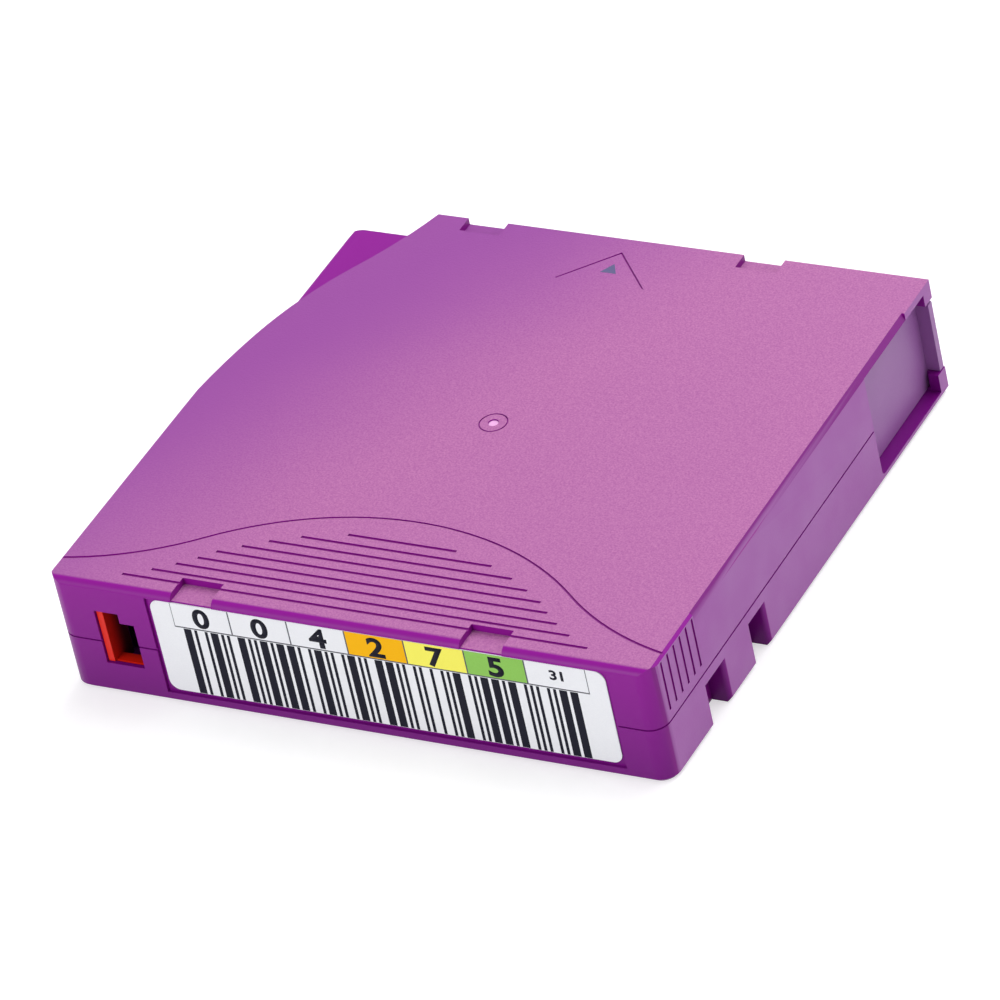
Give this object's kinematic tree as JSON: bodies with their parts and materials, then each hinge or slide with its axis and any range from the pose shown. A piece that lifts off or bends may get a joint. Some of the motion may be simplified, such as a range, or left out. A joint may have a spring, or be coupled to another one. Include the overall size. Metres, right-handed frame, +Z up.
{
  "type": "data tape cartridge",
  "caption": "Flat square cartridge holding one reel of half-inch tape, with a spring-closed side door, a reel brake, a write-protect slider and a label on its rear edge.",
  "frame": {"origin": "centre of the footprint, on the underside of the lower shell", "axes": "+X across the cartridge towards the door side, +Y from the label edge towards the edge that enters the drive, +Z up out of the grooved top"},
  "size_m": [0.1054, 0.102, 0.0215],
  "materials": {
    "shell_plastic": "finely textured moulded plastic with smooth bevels and grooves",
    "label_paper": "white paper label with coloured cells and dark bars",
    "tab_plastic": "smooth red moulded plastic",
    "spring_steel": "bright drawn or stamped steel",
    "reel_plastic": "pale grey moulded plastic",
    "brake_plastic": "white low-friction plastic",
    "tape_film": "dark coated film, smooth wound edge",
    "board_laminate": "green circuit board",
    "chip_resin": "black moulded resin"
  },
  "bodies": {
    "case": {"top_shell": "shell_plastic", "bottom_shell": "shell_plastic", "case_screws": "spring_steel", "barcode_label": "label_paper", "memory_board": "board_laminate", "memory_chip": "chip_resin", "leader_pin": "spring_steel", "leader_pin_clip": "brake_plastic", "tape_leader": "tape_film", "pin_retaining_spring": "spring_steel", "door_spring": "spring_steel", "brake_spring": "spring_steel"},
    "reel": {"reel_hub": "reel_plastic", "upper_flange": "reel_plastic", "reel_plate": "spring_steel", "tape_pack": "tape_film"},
    "brake": {"brake_button": "brake_plastic"},
    "release": {"release_spider": "brake_plastic"},
    "door": {"access_door": "shell_plastic"},
    "write_protect": {"write_protect_tab": "tab_plastic"}
  },
  "joints": [
    {"name": "reel_spin", "type": "hinge", "parent": "case", "child": "reel", "pos_m": [0, 0.0011, 0.01], "axis": [0, 0, 1], "continuous": true},
    {"name": "brake_release", "type": "slide", "parent": "case", "child": "brake", "axis": [0, 0, 1], "range_m": [0, 0.0016], "stiffness_N_per_m": 600, "springref_m": -0.006, "deforming": ["brake_spring"]},
    {"name": "spider_lift", "type": "slide", "parent": "reel", "child": "release", "axis": [0, 0, 1], "range_m": [0, 0.0016]},
    {"name": "door_slide", "type": "slide", "parent": "case", "child": "door", "axis": [0, -1, 0], "range_m": [0, 0.02], "stiffness_N_per_m": 12, "springref_m": -0.03, "deforming": ["door_spring"]},
    {"name": "write_protect_slide", "type": "slide", "parent": "case", "child": "write_protect", "axis": [1, 0, 0], "range_m": [0, 0.003]}
  ],
  "couplings": [
    {"joint": "spider_lift", "follows": "brake_release", "ratio": 1}
  ]
}
